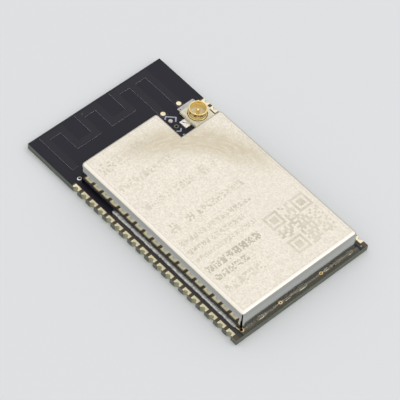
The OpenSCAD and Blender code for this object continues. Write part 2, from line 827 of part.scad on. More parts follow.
module resistor_bodies() { color([0.12, 0.12, 0.12]) small_bodies(resistor_places, resistor_h); }

module resistor_ends() { color([0.78, 0.77, 0.75]) small_ends(resistor_places, resistor_h); }

module coil_bodies() { color([0.3, 0.42, 0.55]) small_bodies(coil_places, part_h); }

module coil_ends() { color([0.78, 0.77, 0.75]) small_ends(coil_places, part_h); }

laminate();
top_mask();
bottom_mask();
edge_contacts_left();
edge_contacts_right();
antenna_trace();
thermal_pad_grid();
ground_strip();
plated_holes();
receptacle_lands();
component_lands();
marking_ink();
shield_solder();
shield_can();
receptacle_base();
receptacle_barrel();
receptacle_pin();
receptacle_solder();
processor_body();
processor_contacts();
flash_body();
flash_leads();
memory_body();
memory_leads();
crystal_base();
crystal_lid();
capacitor_bodies();
capacitor_ends();
resistor_bodies();
resistor_ends();
coil_bodies();
coil_ends();
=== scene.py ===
"""Looks of a flat radio module: castellated board, printed antenna, coaxial receptacle and shield can.

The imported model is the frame. Most of its solids keep their shape and get a finish. The can, its solder
and the metal of the receptacle are modelled again with their softer edges and their uneven solder.
Sizes are in millimetres times MM; places come from the frame's boxes.
"""

import contextlib
import json
import math
import random

import bmesh
import bpy
from mathutils import Matrix, Vector


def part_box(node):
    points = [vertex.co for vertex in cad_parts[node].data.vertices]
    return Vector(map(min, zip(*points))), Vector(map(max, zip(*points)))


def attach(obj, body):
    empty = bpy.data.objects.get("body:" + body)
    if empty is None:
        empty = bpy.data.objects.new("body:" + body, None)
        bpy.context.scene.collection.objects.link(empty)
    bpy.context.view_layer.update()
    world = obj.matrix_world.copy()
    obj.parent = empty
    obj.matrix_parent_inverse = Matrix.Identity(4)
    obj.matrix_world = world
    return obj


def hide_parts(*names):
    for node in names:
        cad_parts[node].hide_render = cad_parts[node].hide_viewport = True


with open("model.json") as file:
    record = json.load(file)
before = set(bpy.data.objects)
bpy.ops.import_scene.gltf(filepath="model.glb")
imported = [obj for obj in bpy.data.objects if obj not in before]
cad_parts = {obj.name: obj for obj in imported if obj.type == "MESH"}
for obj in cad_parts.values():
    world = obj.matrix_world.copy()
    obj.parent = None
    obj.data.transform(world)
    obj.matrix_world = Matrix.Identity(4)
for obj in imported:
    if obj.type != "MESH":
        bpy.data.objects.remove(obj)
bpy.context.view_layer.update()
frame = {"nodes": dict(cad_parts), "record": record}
MM = 0.001
TINY = 0.01 * MM

# Shield can
NOTCH_W = 5.4 * MM
NOTCH_L = 3.8 * MM
SHEET_T = 0.2 * MM
BEND_R = 0.34 * MM
PLAIN_CORNER_R = 0.5 * MM
SEAM_R = 0.38 * MM
SEAM_FOOT = 0.26 * MM
SEAM_TOP = 0.11 * MM
ARCH_L = 4.8 * MM
ARCH_H = 0.5 * MM
FLARE = 0.11 * MM
ETCH_T = 0.004 * MM
CREASE_IN = 0.5 * MM
CLEAR = 0.1 * MM

# Wear and print on the can's top
ARC_MIDDLE = (-2.2 * MM, -1.8 * MM)
ARC_R = 7.8 * MM
ARC_REACH = 3.0 * MM
STREAK_LENGTH = 1.9 * MM
BLOCK_CORNER = (1.45 * MM, -7.75 * MM)
BLOCK_SIDE = 5.5 * MM
BLOCK_CELLS = 21
FRAME_CELLS = 7

# Solder
BEAD_W = 0.14 * MM
BEAD_H = 0.14 * MM
BEAD_OUT = 0.045 * MM
BEAD_STEP = 0.06 * MM
BEAD_END = 0.35
THIN_BEAD = 0.44
THIN_OUT = 0.03 * MM
SKIRT_GAP = 0.27 * MM
PUDDLE_H = 0.09 * MM
PUDDLE_W = 2.2 * MM
TAIL_PUDDLE_W = 0.92 * MM

# Receptacle
BARREL_R = 1.0 * MM
BARREL_WALL = 0.14 * MM
LIP_H = 0.22 * MM
NECK_IN = 0.08 * MM
STRAP_T = 0.1 * MM
STRAP_W = 1.8 * MM
TAIL_W = 0.5 * MM
PIN_R = 0.2 * MM
COLLAR_R = 0.29 * MM
COLLAR_H = 0.06 * MM
LIFT = 0.005 * MM

# Spots on the board, in millimetres
FRONT_HOLES = [(-2.6, -15.1), (2.95, -15.1), (-7.76, -15.1)]
BACK_HOLE = (-7.87, 9.02)
FEED_HOLE = (4.27, 7.77)
TINNED_HOLE = (4.27, 8.67)
SIGNAL_LAND = (5.1, 7.47)
NOTCH_DOT = (4.14, 6.46)


# ---------- modelling helpers ----------


def receptacle_axis():
    """The receptacle's axis in x and y, and the height its base stands on."""
    (x0, y0, z0), (x1, y1, _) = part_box("receptacle_barrel")
    return (x0 + x1) / 2, (y0 + y1) / 2, z0


def deselect_all():
    """Leaves edit mode, with nothing selected."""
    if bpy.context.object and bpy.context.object.mode != "OBJECT":
        bpy.ops.object.mode_set(mode="OBJECT")
    bpy.ops.object.select_all(action="DESELECT")


def take(obj):
    """Makes obj the only selected object."""
    deselect_all()
    obj.select_set(True)
    bpy.context.view_layer.objects.active = obj


@contextlib.contextmanager
def shaping(obj):
    """Edit mode on obj, with edges and faces selectable and everything selected."""
    take(obj)
    bpy.ops.object.mode_set(mode="EDIT")
    bpy.ops.mesh.select_mode(type="VERT")
    bpy.ops.mesh.select_all(action="SELECT")
    yield obj
    bpy.ops.object.mode_set(mode="OBJECT")


def pick_faces(obj, test):
    """Selects the faces whose middle and normal pass the test."""
    bpy.ops.mesh.select_mode(type="FACE")
    bpy.ops.mesh.select_all(action="DESELECT")
    mesh = bmesh.from_edit_mesh(obj.data)
    mesh.normal_update()
    for face in mesh.faces:
        face.select_set(test(face.calc_center_median(), face.normal))
    bmesh.update_edit_mesh(obj.data)


def pick_edges(obj, test):
    """Selects the edges whose two ends pass the test."""
    bpy.ops.mesh.select_mode(type="EDGE")
    bpy.ops.mesh.select_all(action="DESELECT")
    mesh = bmesh.from_edit_mesh(obj.data)
    for edge in mesh.edges:
        edge.select_set(test(edge.verts[0].co, edge.verts[1].co))
    bmesh.update_edit_mesh(obj.data)


def pick_verts(obj, test):
    """Selects the corners whose place passes the test."""
    bpy.ops.mesh.select_mode(type="VERT")
    bpy.ops.mesh.select_all(action="DESELECT")
    mesh = bmesh.from_edit_mesh(obj.data)
    for vert in mesh.verts:
        vert.select_set(test(vert.co))
    mesh.select_flush_mode()
    bmesh.update_edit_mesh(obj.data)


def settle(obj):
    """Puts the object's place, turn and scale into its mesh."""
    take(obj)
    bpy.ops.object.transform_apply(location=True, rotation=True, scale=True)
    return obj


def add_block(name, low, high):
    """A block between two corners, as a start for shaping."""
    low, high = Vector(low), Vector(high)
    deselect_all()
    bpy.ops.mesh.primitive_cube_add(size=1, location=(low + high) / 2)
    block = bpy.context.object
    block.name = name
    block.scale = high - low
    return settle(block)


def add_plate(name, x0, y0, x1, y1, z):
    """A flat rectangle, as a start for shaping."""
    deselect_all()
    bpy.ops.mesh.primitive_plane_add(size=1, location=((x0 + x1) / 2, (y0 + y1) / 2, z))
    plate = bpy.context.object
    plate.name = name
    plate.scale = (x1 - x0, y1 - y0, 1)
    return settle(plate)


def copy_of(piece, move):
    """A copy with a mesh of its own, moved by this much."""
    take(piece)
    bpy.ops.object.duplicate(linked=False)
    twin = bpy.context.object
    twin.location = move
    return settle(twin)


def use_modifier(obj, kind, **settings):
    """Adds a modifier with these settings and applies it."""
    take(obj)
    modifier = obj.modifiers.new(kind.lower(), kind)
    for key, value in settings.items():
        setattr(modifier, key, value)
    bpy.ops.object.modifier_apply(modifier=modifier.name)


def round_edges(obj, width):
    use_modifier(obj, "BEVEL", width=width, segments=3, limit_method="ANGLE", angle_limit=math.radians(40))


def soften(obj, angle=35):
    """Smooth shading, with large flat faces kept flat."""
    take(obj)
    bpy.ops.object.shade_smooth_by_angle(angle=math.radians(angle))
    use_modifier(obj, "WEIGHTED_NORMAL", keep_sharp=True, weight=80)


def join(pieces, name):
    """Makes one object of these pieces, under this name."""
    deselect_all()
    for piece in pieces:
        piece.select_set(True)
    bpy.context.view_layer.objects.active = pieces[0]
    bpy.ops.object.join()
    pieces[0].name = name
    return settle(pieces[0])


def carve(obj, cutter):
    """Cuts cutter out of obj and removes it."""
    use_modifier(obj, "BOOLEAN", operation="DIFFERENCE", object=cutter, solver="EXACT")
    bpy.data.objects.remove(cutter, do_unlink=True)


def lumps(obj, size, depth, direction="NORMAL"):
    """Pushes the surface in and out, or along one axis, in soft lumps of about this size."""
    cloud = bpy.data.textures.new(obj.name + "_lumps", "CLOUDS")
    cloud.noise_scale = size
    cloud.noise_depth = 1
    use_modifier(
        obj,
        "DISPLACE",
        texture=cloud,
        strength=depth,
        direction=direction,
        mid_level=0.5,
        texture_coords="LOCAL",
    )


def turned(name, profile, axis, steps):
    """A turned shape: corners (radius, height) drawn one after another, then spun about an upright axis."""
    deselect_all()
    start = Vector((axis[0] + profile[0][0], axis[1], profile[0][1]))
    bpy.ops.mesh.primitive_plane_add(size=MM, location=start)
    part = bpy.context.object
    part.name = name
    settle(part)
    route = profile + [profile[0]]
    with shaping(part):
        bpy.ops.mesh.merge(type="CENTER")
        for (r0, z0), (r1, z1) in zip(route, route[1:]):
            bpy.ops.mesh.extrude_vertices_move(TRANSFORM_OT_translate={"value": (r1 - r0, 0, z1 - z0)})
        bpy.ops.mesh.select_all(action="SELECT")
        bpy.ops.mesh.remove_doubles(threshold=0.0001 * MM)
        bpy.ops.mesh.spin(steps=steps, angle=math.tau, center=(axis[0], axis[1], 0), axis=(0, 0, 1))
        bpy.ops.mesh.select_all(action="SELECT")
        bpy.ops.mesh.remove_doubles(threshold=0.0005 * MM)
        bpy.ops.mesh.normals_make_consistent(inside=False)
    return part


def finish_piece(piece, material, slot, *stands_for):
    """Gives a modelled piece its finish and ties it to the frame."""
    piece.data.materials.clear()
    piece.data.materials.append(material)
    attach(piece, "root")
    if stands_for:
        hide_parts(*stands_for)
    return piece


# ---------- shader helpers ----------


def put(tree, kind, inputs=None, **settings):
    """A node with its settings, and its inputs set to values or linked to sockets."""
    node = tree.nodes.new(kind)
    for key, value in settings.items():
        setattr(node, key, value)
    for key, value in (inputs or {}).items():
        if isinstance(value, bpy.types.NodeSocket):
            tree.links.new(value, node.inputs[key])
        else:
            node.inputs[key].default_value = value
    return node


def sums(tree, operation, a, b=0.0, c=0.0):
    """One sum on numbers or sockets, such as ADD or MAXIMUM."""
    return put(tree, "ShaderNodeMath", {0: a, 1: b, 2: c}, operation=operation).outputs[0]


def times(tree, first, *others):
    """All of these multiplied together."""
    for other in others:
        first = sums(tree, "MULTIPLY", first, other)
    return first


def ramp(tree, value, low, high, to_low=0.0, to_high=1.0):
    """value taken from low..high to to_low..to_high in a soft step."""
    node = put(
        tree,
        "ShaderNodeMapRange",
        {"Value": value, "From Min": low, "From Max": high, "To Min": to_low, "To Max": to_high},
        interpolation_type="SMOOTHSTEP",
    )
    return node.outputs["Result"]


def blend(tree, share, a, b):
    """Colour a where share is 0, colour b where it is 1."""
    node = put(tree, "ShaderNodeMix", data_type="RGBA")
    for key, value in ((0, share), (6, a), (7, b)):
        if isinstance(value, bpy.types.NodeSocket):
            tree.links.new(value, node.inputs[key])
        else:
            node.inputs[key].default_value = (*value, 1) if key else value
    return node.outputs[2]


def noise(tree, place, scale, detail):
    inputs = {"Vector": place, "Scale": scale, "Detail": detail}
    return put(tree, "ShaderNodeTexNoise", inputs).outputs[0]


def place_of(tree):
    return put(tree, "ShaderNodeTexCoord").outputs["Object"]


def axes_of(tree, place):
    return put(tree, "ShaderNodeSeparateXYZ", {0: place}).outputs


def new_group(name, inputs, outputs):
    """An empty shader group with named sockets. A default of None makes a vector input."""
    group = bpy.data.node_groups.new(name, "ShaderNodeTree")
    for label, value in inputs:
        kind = "NodeSocketVector" if value is None else "NodeSocketFloat"
        socket = group.interface.new_socket(name=label, in_out="INPUT", socket_type=kind)
        if value is not None:
            socket.default_value = value
    for label in outputs:
        group.interface.new_socket(name=label, in_out="OUTPUT", socket_type="NodeSocketFloat")
    return group, group.nodes.new("NodeGroupInput").outputs, group.nodes.new("NodeGroupOutput")


def fine_grain_group():
    """Fine grain of a plated, cast or moulded surface."""
    group, given, out = new_group("fine_grain", [("Place", None), ("Scale", 4000.0)], ["Tone", "Height"])
    coarse = noise(group, given["Place"], given["Scale"], 3.0)
    fine = noise(group, given["Place"], times(group, given["Scale"], 2.7), 2.0)
    height = sums(group, "MULTIPLY_ADD", coarse, 0.65, times(group, fine, 0.35))
    group.links.new(height, out.inputs["Height"])
    group.links.new(ramp(group, height, 0.36, 0.64), out.inputs["Tone"])
    return group


def soft_patches_group():
    """Large soft patches, for handling marks and uneven shine."""
    group, given, out = new_group("soft_patches", [("Place", None), ("Scale", 300.0)], ["Mask"])
    cloud = noise(group, given["Place"], given["Scale"], 4.0)
    group.links.new(ramp(group, cloud, 0.38, 0.68), out.inputs["Mask"])
    return group


def fine_specks_group():
    """Sparse round specks, such as dust or pits."""
    inputs = [("Place", None), ("Scale", 1500.0), ("Share", 0.1), ("Size", 0.2)]
    group, given, out = new_group("fine_specks", inputs, ["Mask"])
    cells = put(group, "ShaderNodeTexVoronoi", {"Vector": given["Place"], "Scale": given["Scale"]})
    near = sums(group, "LESS_THAN", cells.outputs["Distance"], given["Size"])
    chosen = put(group, "ShaderNodeSeparateColor", {0: cells.outputs["Color"]})
    kept = sums(group, "LESS_THAN", chosen.outputs[0], given["Share"])
    group.links.new(times(group, near, kept), out.inputs["Mask"])
    return group


def glass_cloth_group():
    """Woven glass cloth seen through resin."""
    group, given, out = new_group("glass_cloth", [("Place", None), ("Pitch", 12000.0)], ["Height"])
    axes = axes_of(group, given["Place"])
    warp = sums(group, "SINE", times(group, axes["X"], given["Pitch"]))
    weft = sums(group, "SINE", times(group, axes["Y"], given["Pitch"]))
    cross = sums(group, "MULTIPLY_ADD", times(group, warp, weft), 0.5, 0.5)
    group.links.new(cross, out.inputs["Height"])
    return group


GRAIN = fine_grain_group()
PATCHES = soft_patches_group()
SPECKS = fine_specks_group()
CLOTH = glass_cloth_group()


def use_group(tree, group, **inputs):
    return put(tree, "ShaderNodeGroup", inputs, node_tree=group).outputs


def new_finish(name, **constants):
    """A material with a Principled shader, and its plain numbers set on the shader itself."""
    material = bpy.data.materials.new(name)
    material.use_nodes = True
    tree = material.node_tree
    shader = tree.nodes["Principled BSDF"]
    for key, value in constants.items():
        shader.inputs[key.replace("_", " ")].default_value = value
    return material, tree, shader


def set_relief(tree, shader, height, depth):
    bump = put(tree, "ShaderNodeBump", {"Height": height, "Distance": depth, "Strength": 1.0})
    tree.links.new(bump.outputs[0], shader.inputs["Normal"])


def metal_finish(name, signal_painted_light, dull, rough, grain=4000.0, depth=0.004 * MM, patch=500.0, shades=()):
    """Plain metal: two tones in the grain, and shine that varies in patches.

    shades are pairs of a tone and a function that gives the mask of the places where it shows.
    """
    material, tree, shader = new_finish(name, Metallic=1.0)
    place = place_of(tree)
    marks = use_group(tree, GRAIN, Place=place, Scale=grain)
    worn = use_group(tree, PATCHES, Place=place, Scale=patch)["Mask"]
    share = sums(tree, "MULTIPLY_ADD", marks["Tone"], 0.5, times(tree, worn, 0.5))
    colour = blend(tree, share, signal_painted_light, dull)
    for tone, mask in shades:
        colour = blend(tree, mask(tree, place), colour, tone)
    tree.links.new(colour, shader.inputs["Base Color"])
    tree.links.new(ramp(tree, share, 0.0, 1.0, rough, rough * 1.6), shader.inputs["Roughness"])
    set_relief(tree, shader, marks["Height"], depth)
    return material


def dull_finish(name, light, dark, rough, grain=5000.0, depth=0.004 * MM, **constants):
    """Plastic, resin or ceramic: a mottled tone and a fine relief."""
    material, tree, shader = new_finish(name, **constants)
    place = place_of(tree)
    marks = use_group(tree, GRAIN, Place=place, Scale=grain)
    specks = use_group(tree, SPECKS, Place=place, Scale=grain * 0.4, Share=0.12, Size=0.22)["Mask"]
    colour = blend(tree, marks["Tone"], light, dark)
    pale = [min(1.0, part * 1.6 + 0.02) for part in light]
    mottled = blend(tree, times(tree, specks, 0.35), colour, pale)
    tree.links.new(mottled, shader.inputs["Base Color"])
    tree.links.new(ramp(tree, marks["Tone"], 0.0, 1.0, rough, rough * 1.25), shader.inputs["Roughness"])
    set_relief(tree, shader, marks["Height"], depth)
    return material


# ---------- finishes ----------


def upright_mask(tree, place):
    """1 on upright walls, 0 on level faces."""
    normal = axes_of(tree, put(tree, "ShaderNodeTexCoord").outputs["Normal"])
    return ramp(tree, sums(tree, "ABSOLUTE", normal["Z"]), 0.7, 0.3)


def distance_and_turn(tree, place, x, y):
    """Distance in plan from an upright axis, and the way round it as an angle."""
    axes = axes_of(tree, place)
    dx, dy = sums(tree, "SUBTRACT", axes["X"], x), sums(tree, "SUBTRACT", axes["Y"], y)
    distance = sums(tree, "SQRT", sums(tree, "MULTIPLY_ADD", dx, dx, times(tree, dy, dy)))
    return distance, sums(tree, "ARCTAN2", dy, dx)


def waist_mask(tree, place):
    """1 in eight short dark stretches under the barrel's lip, where least light gets in."""
    axes = axes_of(tree, place)
    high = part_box("receptacle_barrel")[1][2] - LIP_H
    low = high - 0.34 * MM
    axis_x, axis_y, _ = receptacle_axis()
    distance, angle = distance_and_turn(tree, place, axis_x, axis_y)
    up = ramp(tree, axes["Z"], low, low + 0.14 * MM)
    down = ramp(tree, axes["Z"], high + 0.04 * MM, high)
    outside = ramp(tree, distance, BARREL_R - 0.12 * MM, BARREL_R - 0.1 * MM)
    phase = sums(tree, "MULTIPLY_ADD", angle, 8.0, -3.77)
    stretch = ramp(tree, sums(tree, "COSINE", phase), -0.3, 0.7, 0.1, 0.85)
    return times(tree, up, down, outside, stretch)


def near_mask(spots, radius):
    """A mask function that is 1 within radius of any of these upright axes, given in millimetres."""

    def mask(tree, place):
        near = 0.0
        for x, y in spots:
            distance, _ = distance_and_turn(tree, place, x * MM, y * MM)
            disc = ramp(tree, distance, radius * MM, (radius - 0.03) * MM)
            near = sums(tree, "MAXIMUM", near, disc)
        return near

    return mask


def front_edge_mask(tree, place):
    """Most of the way to 1 in front of the can, where the strip is painted darker and the solder a plainer
    tone.
    """
    return ramp(tree, axes_of(tree, place)["Y"], -14.95 * MM, -15.0 * MM, 0.0, 0.85)


def laminate_finish():
    """Cut glass-fibre board: plies along its edge, cloth on its faces, ribs by the can's front foot."""
    material, tree, shader = new_finish("cut_laminate")
    front_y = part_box("laminate")[0][1]
    place = place_of(tree)
    axes = axes_of(tree, place)
    flat = put(tree, "ShaderNodeVectorMath", {0: place, 1: (0.12, 0.12, 4.0)}, operation="MULTIPLY")
    plies = noise(tree, flat.outputs[0], 2600.0, 3.0)
    fibres = use_group(tree, GRAIN, Place=place, Scale=7000.0)
    cloth = use_group(tree, CLOTH, Place=place, Pitch=14000.0)["Height"]
    top = ramp(tree, axes["Z"], 0.735 * MM, 0.75 * MM)
    edge = blend(tree, ramp(tree, plies, 0.35, 0.65), (0.066, 0.078, 0.055), (0.14, 0.16, 0.122))
    edge = blend(tree, times(tree, fibres["Tone"], 0.35), edge, (0.22, 0.235, 0.18))
    face = blend(tree, cloth, (0.045, 0.042, 0.027), (0.076, 0.070, 0.045))
    face = blend(tree, times(tree, fibres["Tone"], 0.3), face, (0.13, 0.12, 0.085))
    inset = sums(tree, "SUBTRACT", axes["Y"], front_y)
    band_start, band_end = ramp(tree, inset, 0.24 * MM, 0.4 * MM), ramp(tree, inset, 0.62 * MM, 0.55 * MM)
    teeth = ramp(tree, sums(tree, "SINE", times(tree, axes["X"], 42000.0)), -0.2, 0.9)
    uneven = use_group(tree, PATCHES, Place=place, Scale=700.0)["Mask"]
    ribs = times(tree, band_start, band_end, teeth, uneven)
    face = blend(tree, times(tree, ribs, 0.9), face, (0.42, 0.38, 0.32))
    tree.links.new(blend(tree, top, edge, face), shader.inputs["Base Color"])
    tree.links.new(ramp(tree, fibres["Tone"], 0.0, 1.0, 0.45, 0.65), shader.inputs["Roughness"])
    height = sums(tree, "ADD", sums(tree, "MULTIPLY_ADD", cloth, 0.4, fibres["Height"]), ribs)
    set_relief(tree, shader, height, 0.012 * MM)
    return material


def solder_mask_finish():
    """Satin black mask with faint dust, a fine relief and a painted highlight on the shoulders over the
    antenna's track.
    """
    material, tree, shader = new_finish("black_mask", Specular_IOR_Level=0.28)
    place = place_of(tree)
    axes = axes_of(tree, place)
    peel = use_group(tree, GRAIN, Place=place, Scale=2600.0)
    dust = use_group(tree, SPECKS, Place=place, Scale=900.0, Share=0.05, Size=0.06)["Mask"]
    cloud = use_group(tree, PATCHES, Place=place, Scale=180.0)["Mask"]
    colour = blend(tree, cloud, (0.0092, 0.0088, 0.0165), (0.0132, 0.0126, 0.0215))
    raised = ramp(tree, axes["Z"], 0.79 * MM, 0.8 * MM)
    colour = blend(tree, times(tree, raised, 0.5), colour, (0.026, 0.024, 0.03))
    # Painted highlight: the upright shoulders of the raised track are painted pale
    shoulder_painted_highlight = times(tree, raised, upright_mask(tree, place))
    colour = blend(tree, shoulder_painted_highlight, colour, (0.8, 0.74, 0.82))
    # Thin mask between the contacts, and flux left beside the solder
    from_middle = sums(tree, "ABSOLUTE", axes["X"])
    by_contacts = ramp(tree, axes["Y"], 8.9 * MM, 8.8 * MM)
    thin = times(tree, ramp(tree, from_middle, 8.4 * MM, 8.62 * MM), by_contacts)
    colour = blend(tree, times(tree, thin, 0.7), colour, (0.145, 0.11, 0.067))
    by_solder = ramp(tree, axes["Y"], 3.5 * MM, 3.3 * MM)
    flux_start = ramp(tree, from_middle, 8.1 * MM, 8.16 * MM)
    flux_end = ramp(tree, from_middle, 8.62 * MM, 8.5 * MM)
    flux = times(tree, flux_start, by_solder, flux_end)
    colour = blend(tree, times(tree, flux, 0.7), colour, (0.068, 0.062, 0.054))
    colour = blend(tree, times(tree, dust, 0.8), colour, (0.3, 0.29, 0.28))
    tree.links.new(colour, shader.inputs["Base Color"])
    tree.links.new(ramp(tree, cloud, 0.0, 1.0, 0.42, 0.54), shader.inputs["Roughness"])
    set_relief(tree, shader, peel["Height"], 0.004 * MM)
    return material


def rim_distances(tree, axes):
    """Distances in plan from the can's left and front walls, and from its right, back and notch walls."""
    (x0, y0, _), (x1, y1, _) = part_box("shield_can")

    def to_line(axis, line):
        return sums(tree, "SUBTRACT", line, axes[axis])

    from_left, from_front = sums(tree, "SUBTRACT", axes["X"], x0), sums(tree, "SUBTRACT", axes["Y"], y0)
    far = sums(tree, "MAXIMUM", to_line("X", x1 - NOTCH_W), to_line("Y", y1 - NOTCH_L))
    far = sums(tree, "MINIMUM", far, to_line("X", x1))
    far = sums(tree, "MINIMUM", far, to_line("Y", y1))
    return sums(tree, "MINIMUM", from_left, from_front), far


def can_finish():
    """Pressed sheet: satin and speckled on the top, near a mirror on the drawn walls."""
    material, tree, shader = new_finish("pressed_sheet", Metallic=1.0)
    foot_z, top_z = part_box("shield_can")[0][2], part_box("shield_can")[1][2]
    place = place_of(tree)
    axes = axes_of(tree, place)
    top = ramp(tree, axes["Z"], top_z - 0.22 * MM, top_z - 0.06 * MM)
    marks = use_group(tree, GRAIN, Place=place, Scale=5600.0)
    patches = use_group(tree, PATCHES, Place=place, Scale=160.0)["Mask"]
    # Arc rubbed beside the notch, with fine streaks along it
    reach, angle = distance_and_turn(tree, place, *ARC_MIDDLE)
    off = sums(tree, "ABSOLUTE", sums(tree, "SUBTRACT", reach, ARC_R))
    side = ramp(tree, sums(tree, "ADD", axes["X"], axes["Y"]), 1.0 * MM, 6.0 * MM)
    lengthwise = put(tree, "ShaderNodeCombineXYZ", {0: reach, 1: times(tree, angle, STREAK_LENGTH)})
    streaks = ramp(tree, noise(tree, lengthwise.outputs[0], 3600.0, 4.0), 0.34, 0.62, 0.6, 1.0)
    rubbed = times(tree, ramp(tree, off, ARC_REACH, 0.5 * MM), side, streaks)
    # The press leaves a rim with a fine line where it ends; the rim has a painted highlight on its left and
    # front sides and painted shade on its other sides
    near_rim, far_rim = rim_distances(tree, axes)
    rim = sums(tree, "MINIMUM", near_rim, far_rim)
    line = ramp(tree, sums(tree, "ABSOLUTE", sums(tree, "SUBTRACT", rim, CREASE_IN)), 0.05 * MM, 0.01 * MM)
    rim_painted_highlight = ramp(tree, near_rim, CREASE_IN, CREASE_IN - 0.12 * MM)
    rim_painted_shade = ramp(tree, far_rim, 0.36 * MM, 0.16 * MM)
    satin = blend(tree, marks["Tone"], (0.975, 0.90, 0.785), (0.79, 0.725, 0.615))
    for mask, share, tone in (
        (patches, 0.25, (0.85, 0.80, 0.70)),
        (rubbed, 0.85, (0.66, 0.575, 0.415)),
        (rim_painted_highlight, 0.8, (1.0, 0.93, 0.82)),
        (rim_painted_shade, 0.6, (0.60, 0.57, 0.50)),
        (line, 0.4, (0.58, 0.54, 0.46)),
    ):
        satin = blend(tree, times(tree, mask, share), satin, tone)
    # Painted reflection: the walls are darker just under the fold
    fold_painted_reflection = ramp(tree, axes["Z"], top_z - 0.9 * MM, top_z - 0.2 * MM)
    wall = blend(tree, fold_painted_reflection, (0.57, 0.575, 0.55), (0.45, 0.46, 0.43))
    tree.links.new(blend(tree, top, wall, satin), shader.inputs["Base Color"])
    satin_rough = sums(tree, "MULTIPLY_ADD", marks["Tone"], 0.08, 0.33)
    wall_rough = ramp(tree, axes["Z"], foot_z, foot_z + 1.4 * MM, 0.26, 0.08)
    rough = put(tree, "ShaderNodeMix", {0: top, 2: wall_rough, 3: satin_rough}, data_type="FLOAT")
    tree.links.new(rough.outputs[0], shader.inputs["Roughness"])
    grain = times(tree, marks["Height"], ramp(tree, top, 0.0, 1.0, 0.05, 1.0))
    waves = times(tree, noise(tree, place, 650.0, 1.0), ramp(tree, top, 0.0, 1.0, 1.2, 0.0))
    set_relief(tree, shader, sums(tree, "ADD", grain, waves), 0.012 * MM)
    return material


def deep_rows_mask(tree, place):
    """Half of 1 on the two rows that are etched deepest."""
    axes = axes_of(tree, place)
    up = ramp(tree, axes["Y"], -10.7 * MM, -10.6 * MM)
    down = ramp(tree, axes["Y"], -8.3 * MM, -8.4 * MM)
    left = ramp(tree, axes["X"], 0.4 * MM, 0.3 * MM)
    return times(tree, up, down, left, 0.5)


def etched_finish():
    """Sheet roughened by etching: darker, flatter and grainier than the sheet round it."""
    return metal_finish(
        "etched_sheet",
        (0.80, 0.735, 0.62),
        (0.69, 0.635, 0.53),
        0.4,
        grain=5000.0,
        depth=0.01 * MM,
        shades=[((0.50, 0.455, 0.36), deep_rows_mask)],
    )


GOLD = (1.0, 0.89, 0.62)
DULL_GOLD = (0.93, 0.81, 0.54)
# Painted shade on the upright walls of the lands, such as the half-holes' walls
HOLE_WALL_PAINTED_SHADE = ((0.54, 0.54, 0.39), upright_mask)
# Painted shade in the bores of the plated holes, and painted shadow round the hole by the can's back corner
BORE_PAINTED_SHADE = (0.012, 0.011, 0.01)


def make_finishes():
    """Every material slot's finish, by its name."""
    return {
        "laminate": laminate_finish(),
        "solder_mask": solder_mask_finish(),
        "gold_land": metal_finish("gold_land", GOLD, DULL_GOLD, 0.3, grain=6000.0, shades=[HOLE_WALL_PAINTED_SHADE]),
        "ink": dull_finish("white_ink", (0.44, 0.46, 0.54), (0.33, 0.35, 0.42), 0.55, grain=9000.0),
        "shield_metal": can_finish(),
        "solder": metal_finish(
            "reflowed_solder",
            (0.78, 0.76, 0.73),
            (0.34, 0.33, 0.31),
            0.3,
            patch=4200.0,
            shades=[((0.66, 0.63, 0.56), front_edge_mask)],
        ),
        "base_plastic": dull_finish("cream_plastic", (0.90, 0.84, 0.66), (0.82, 0.76, 0.58), 0.42),
        "barrel_gold": metal_finish(
            "bright_gold",
            (0.98, 0.81, 0.43),
            (0.93, 0.72, 0.33),
            0.16,
            grain=7000.0,
            shades=[((0.20, 0.14, 0.04), waist_mask)],
        ),
        "chip_resin": dull_finish("moulding_resin", (0.03, 0.03, 0.033), (0.018, 0.018, 0.02), 0.6),
        "lead_metal": metal_finish("tinned_leads", (0.76, 0.75, 0.73), (0.6, 0.59, 0.57), 0.3),
        "crystal_ceramic": dull_finish("crystal_ceramic", (0.20, 0.16, 0.10), (0.13, 0.10, 0.06), 0.5),
        "crystal_metal": metal_finish("crystal_lid", (0.82, 0.78, 0.70), (0.70, 0.66, 0.58), 0.25),
        "capacitor_ceramic": dull_finish("capacitor_ceramic", (0.34, 0.20, 0.10), (0.27, 0.15, 0.07), 0.45),
        "resistor_glaze": dull_finish("resistor_glaze", (0.02, 0.02, 0.022), (0.012, 0.012, 0.014), 0.25),
        "coil_ceramic": dull_finish("coil_ceramic", (0.07, 0.12, 0.2), (0.05, 0.09, 0.15), 0.4),
        "end_metal": metal_finish("tinned_ends", (0.78, 0.77, 0.75), (0.62, 0.61, 0.59), 0.28),
    }


def hole_finish():
    """Plated holes: bores with painted shade, painted shadow round the hole by the can's back corner, one
    tinned ring there and a dull one by the feed.
    """
    return metal_finish(
        "plated_holes",
        (0.80, 0.62, 0.33),
        (0.62, 0.46, 0.23),
        0.3,
        grain=6000.0,
        shades=[
            (BORE_PAINTED_SHADE, near_mask([BACK_HOLE], 0.4)),
            ((0.97, 0.93, 0.95), near_mask([(-7.88, 8.93)], 0.27)),
            ((0.17, 0.165, 0.135), near_mask([FEED_HOLE], 0.32)),
            (BORE_PAINTED_SHADE, near_mask(FRONT_HOLES + [(-7.84, 9.0), FEED_HOLE], 0.145)),
        ],
    )


def strip_finish():
    """The ground strip is bare gold, with painted shadow by the can's back corner and painted darker in
    front of the can.
    """
    # Painted shadow on the strip by the can's back corner
    corner_painted_shadow = near_mask([(-7.85, 8.95)], 0.62)
    return metal_finish(
        "ground_strip",
        GOLD,
        DULL_GOLD,
        0.3,
        grain=6000.0,
        shades=[((0.05, 0.048, 0.052), corner_painted_shadow), ((0.17, 0.16, 0.125), front_edge_mask)],
    )


